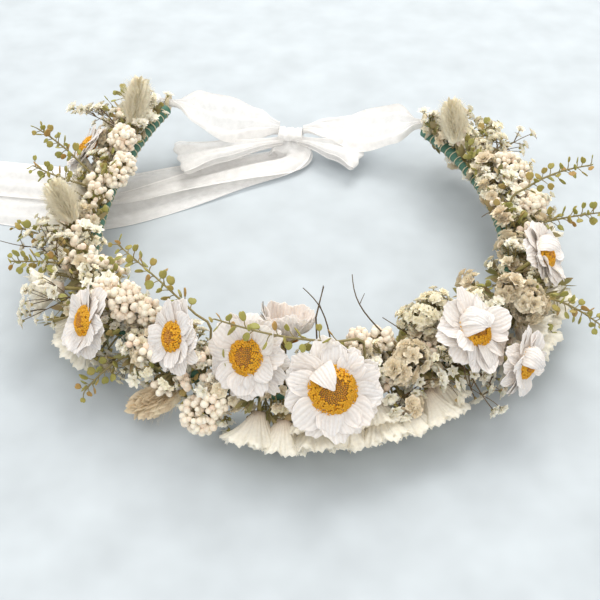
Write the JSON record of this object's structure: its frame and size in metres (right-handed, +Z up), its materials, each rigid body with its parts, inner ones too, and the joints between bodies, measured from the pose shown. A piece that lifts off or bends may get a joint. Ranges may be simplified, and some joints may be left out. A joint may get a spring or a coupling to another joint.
{
  "type": "flower crown",
  "caption": "Open hair crown: a taped wire hoop dressed with dried daisies, statice and seed sprigs, tied at the back by a sheer ribbon bow through two wire eyes.",
  "frame": {"origin": "middle of the head opening, on the surface that the crown rests on", "axes": "+Z up out of the head opening, +Y to the open back of the hoop where the ribbon bow is, +X to the right seen from the front"},
  "size_m": [0.2776, 0.2269, 0.057],
  "materials": {
    "babys_breath": "dry, papery",
    "beige_flower": "dry, ruffled, matt",
    "daisy_centre": "granular, matt",
    "eye_paper": "matt paper wrap",
    "grass_head": "dry, fibrous",
    "pennycress": "dry, leathery",
    "petals": "dry, papery, slightly translucent",
    "ribbon": "sheer chiffon, soft sheen",
    "rice_flower": "dry buds, satin",
    "statice": "dry, papery, translucent",
    "stems": "dry, matt",
    "tape": "waxed crepe paper, satin",
    "thread": "twisted cotton thread",
    "wire": "matt",
    "yarrow": "dry florets, matt"
  },
  "bodies": {
    "crown": {"hoop_wire": "wire", "left_eye": "eye_paper", "right_eye": "eye_paper", "bound_stems": "stems", "tape_front": "tape", "tape_right_arm": "tape", "tape_left_arm": "tape", "binding_thread": "thread", "daisy_1_petals": "petals", "daisy_2_petals": "petals", "daisy_3_petals": "petals", "daisy_4_petals": "petals", "daisy_5_petals": "petals", "daisy_6_petals": "petals", "daisy_7_petals": "petals", "daisy_8_petals": "petals", "daisy_9_petals": "petals", "daisy_1_centre": "daisy_centre", "daisy_2_centre": "daisy_centre", "daisy_3_centre": "daisy_centre", "daisy_4_centre": "daisy_centre", "daisy_5_centre": "daisy_centre", "daisy_6_centre": "daisy_centre", "daisy_7_centre": "daisy_centre", "daisy_8_centre": "daisy_centre", "daisy_9_centre": "daisy_centre", "statice_front": "statice", "statice_right": "statice", "statice_left": "statice", "rice_flower_1": "rice_flower", "rice_flower_2": "rice_flower", "rice_flower_3": "rice_flower", "rice_flower_4": "rice_flower", "rice_flower_5": "rice_flower", "rice_flower_6": "rice_flower", "yarrow_front": "yarrow", "yarrow_back": "yarrow", "beige_flower_right": "beige_flower", "beige_flower_middle": "beige_flower", "wheat_ear": "grass_head", "bunny_tail_1": "grass_head", "bunny_tail_2": "grass_head", "bunny_tail_3": "grass_head", "baby_breath_left": "babys_breath", "baby_breath_front": "babys_breath", "baby_breath_left_back": "babys_breath", "baby_breath_right_back": "babys_breath", "pennycress_left_back": "pennycress", "pennycress_left": "pennycress", "pennycress_inner": "pennycress", "pennycress_front_left": "pennycress", "pennycress_right": "pennycress"},
    "ribbon": {"left_stopper_knot": "ribbon", "right_stopper_knot": "ribbon", "left_band": "ribbon", "right_band": "ribbon", "bow_knot": "ribbon", "left_bow_loop": "ribbon", "right_bow_loop": "ribbon"},
    "tails": {"ribbon_tails": "ribbon"}
  },
  "joints": [
    {"name": "ribbon_swing", "type": "hinge", "parent": "crown", "child": "ribbon", "pos_m": [-0.06537, 0.09795, 0.02756], "axis": [0.9962, -0.0696, -0.0526], "range_deg": [0, 110]},
    {"name": "tail_swing", "type": "hinge", "parent": "ribbon", "child": "tails", "pos_m": [-0.005, 0.096, 0.008], "axis": [0.9962, -0.0696, -0.0526], "range_deg": [0, 100]}
  ]
}
